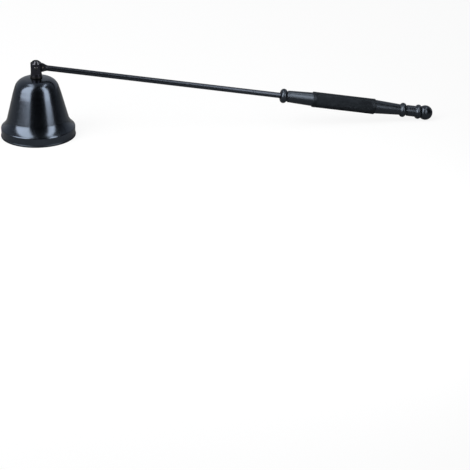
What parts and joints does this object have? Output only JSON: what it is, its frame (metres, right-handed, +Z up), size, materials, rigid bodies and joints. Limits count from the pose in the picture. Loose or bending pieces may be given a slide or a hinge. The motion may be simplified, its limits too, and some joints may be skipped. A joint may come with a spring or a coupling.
{
  "type": "candle snuffer",
  "caption": "Candle snuffer: a bell that swings on a pinned post at the end of a long thin rod with a turned, knurled handle, for putting out candle flames.",
  "frame": {"origin": "centre of the bell's rim, in the plane of the table that the rim rests on", "axes": "+Z up along the bell's axis, +X along the rod's run towards the handle, seen from above"},
  "size_m": [0.2358, 0.0402, 0.0419],
  "materials": {
    "bell_black": "satin gloss black",
    "post_black": "satin black",
    "pin_black": "satin black, peened",
    "rod_black": "satin black",
    "handle_black": "satin black",
    "knurl_black": "matte black, knurled",
    "fastener_black": "black oxide"
  },
  "bodies": {
    "handle_arm": {"rod": "rod_black", "front_bead": "handle_black", "front_cone": "handle_black", "knurled_grip": "knurl_black", "rear_cone": "handle_black", "neck_collar": "handle_black", "ball_finial": "handle_black"},
    "swinging_bell": {"bell": "bell_black", "hinge_post": "post_black", "bell_screw": "fastener_black", "screw_washer": "fastener_black", "hinge_pin": "pin_black"}
  },
  "joints": [
    {"name": "bell_swing", "type": "hinge", "parent": "handle_arm", "child": "swinging_bell", "pos_m": [0, 0, 0.0385], "axis": [0, 1, 0], "range_deg": [-8, 206]}
  ]
}
